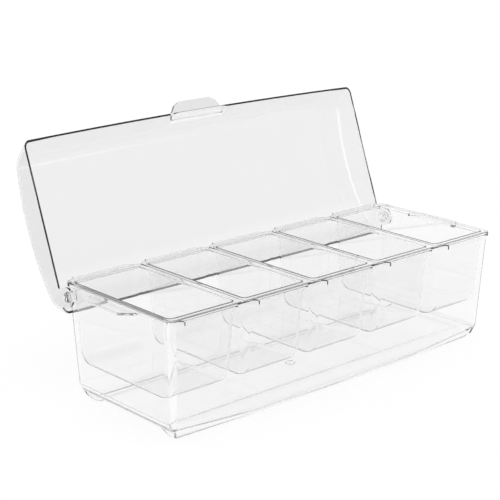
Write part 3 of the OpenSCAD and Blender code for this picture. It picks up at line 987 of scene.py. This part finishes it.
class CADDY_OT_inserts(Operator):
    """Build the five inserts that hang on the bin's rim"""
    bl_idname = "caddy.inserts"
    bl_label = "Inserts"

    def execute(self, context):
        s = sizes(context.scene.caddy_insert)
        s.bin_top = context.scene.caddy_bin.top / MM
        finish = context.scene.caddy_finish
        material = clear_plastic(finish, "insert", finish.fine_ripple, INSERT_WAVES)
        points, faces = loft(insert_rings(s))
        for number in range(1, 6):
            node = f"insert_{number}"
            shift = [(number - 3) * s.pitch, 0, 0]
            piece = new_body(f"clear_{node}", points + shift, faces)
            finish_piece(piece, node, node, material)
        return {"FINISHED"}


class CADDY_OT_lid(Operator):
    """Build the domed lid with its hinge ears and handle"""
    bl_idname = "caddy.lid"
    bl_label = "Lid"

    def execute(self, context):
        s = sizes(context.scene.caddy_lid)
        finish = context.scene.caddy_finish
        points, faces = lid_surface(s)
        piece = new_body("clear_lid", open_lid(s, points), faces)
        root = s.span + s.bow - s.grip_height * math.tan(s.front_lean) - GRIP_SINK
        tip, half = s.span + s.grip_reach, s.grip_root / 2
        clip = tip - s.grip_corner
        right = soft_path([(half, root), (half, s.span), (half - s.grip_clip, clip),
                           (s.grip_tip / 2, tip), (0, tip)], GRIP_ROUNDS)[:-1]
        path = np.concatenate([right, right[::-1] * [-1, 1]])
        points, faces = plate(path, s.grip_height - s.grip_thickness, s.grip_height)
        grip = new_body("grip", open_lid(s, points), faces)
        combine(piece, grip, "UNION")
        # Where the handle starts along its direction; the painted shade on the handle begins
        # there.
        c, n = math.cos(s.open), math.sin(s.open)
        start = ((s.span + s.bow - s.inset) * MM
                 - (s.axis_y * MM + bin_middle()[1]) * c + s.axis_z * MM * n)
        material = clear_plastic(finish, "lid", finish.lid_ripple, LID_WAVES,
                                 handle=((0, -c, n), start))
        finish_piece(piece, "lid", "lid", material)
        return {"FINISHED"}


class CADDY_OT_stage(Operator):
    """Set up the floor, the light and the camera"""
    bl_idname = "caddy.stage"
    bl_label = "Stage"

    def execute(self, context):
        scene = context.scene
        stage = scene.caddy_stage
        a = np.arange(FLOOR_STEPS) * 2 * np.pi / FLOOR_STEPS
        points = np.stack([np.cos(a), np.sin(a), 0 * a], -1) * stage.floor_reach
        mesh = bpy.data.meshes.new("floor")
        mesh.from_pydata(points - [0, 0, FLOOR_GAP], [], [list(range(FLOOR_STEPS))])
        mesh.materials.append(floor_material(stage))
        new_piece("floor", mesh)
        scene.world = bpy.data.worlds.new("studio")
        studio_world(scene.world, stage)
        scene.view_settings.view_transform = "Standard"
        cycles = scene.cycles
        cycles.max_bounces = cycles.transmission_bounces = cycles.transparent_max_bounces = 32
        cycles.glossy_bounces = 12
        camera = bpy.data.objects.new("camera", bpy.data.cameras.new("camera"))
        scene.collection.objects.link(camera)
        camera.data.sensor_width, camera.data.lens = 36.0, stage.lens
        camera.data.clip_start, camera.data.clip_end = 0.05, 50.0
        left, down, roll = stage.azimuth, stage.elevation, stage.roll
        level = Vector((-math.sin(left), -math.cos(left), 0))
        back = level * math.cos(down) + Vector((0, 0, math.sin(down)))
        right = Vector((math.cos(left), -math.sin(left), 0))
        up = back.cross(right)
        side = math.cos(roll) * right + math.sin(roll) * up
        above = math.cos(roll) * up - math.sin(roll) * right
        camera.rotation_euler = Matrix((side, above, back)).transposed().to_euler()
        look_at = Vector(bin_middle()) + Vector((-stage.look_left, 0, stage.look_height))
        camera.location = look_at + back * stage.distance
        scene.camera = camera
        return {"FINISHED"}


class CADDY_PT_panel(Panel):
    """The caddy's buttons, sizes and colours"""
    bl_idname = "CADDY_PT_panel"
    bl_label = "Condiment caddy"
    bl_space_type = "VIEW_3D"
    bl_region_type = "UI"
    bl_category = "Caddy"

    def draw(self, context):
        for operator in OPERATORS:
            self.layout.operator(operator.bl_idname)
        for name in GROUPS:
            box = self.layout.box()
            group = getattr(context.scene, name)
            for item in shown(group):
                box.prop(group, item.identifier)


OPERATORS = (CADDY_OT_stage, CADDY_OT_bin, CADDY_OT_inserts, CADDY_OT_lid)
GROUPS = {"caddy_bin": CaddyBinSizes, "caddy_insert": CaddyInsertSizes,
          "caddy_lid": CaddyLidSizes, "caddy_finish": CaddyFinish, "caddy_stage": CaddyStage}


def register():
    """Adds the classes and their properties."""
    for name, group in GROUPS.items():
        bpy.utils.register_class(group)
        setattr(bpy.types.Scene, name, PointerProperty(type=group))
    for item in (*OPERATORS, CADDY_PT_panel):
        bpy.utils.register_class(item)


def unregister():
    """Removes the classes and their properties."""
    for item in (*OPERATORS, CADDY_PT_panel):
        bpy.utils.unregister_class(item)
    for name, group in GROUPS.items():
        delattr(bpy.types.Scene, name)
        bpy.utils.unregister_class(group)


def main():
    """Builds the whole caddy on its stage."""
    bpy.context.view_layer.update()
    register()
    bpy.ops.caddy.stage()
    bpy.ops.caddy.bin()
    bpy.ops.caddy.inserts()
    bpy.ops.caddy.lid()
    bpy.context.view_layer.update()


if __name__ == "__main__":
    main()
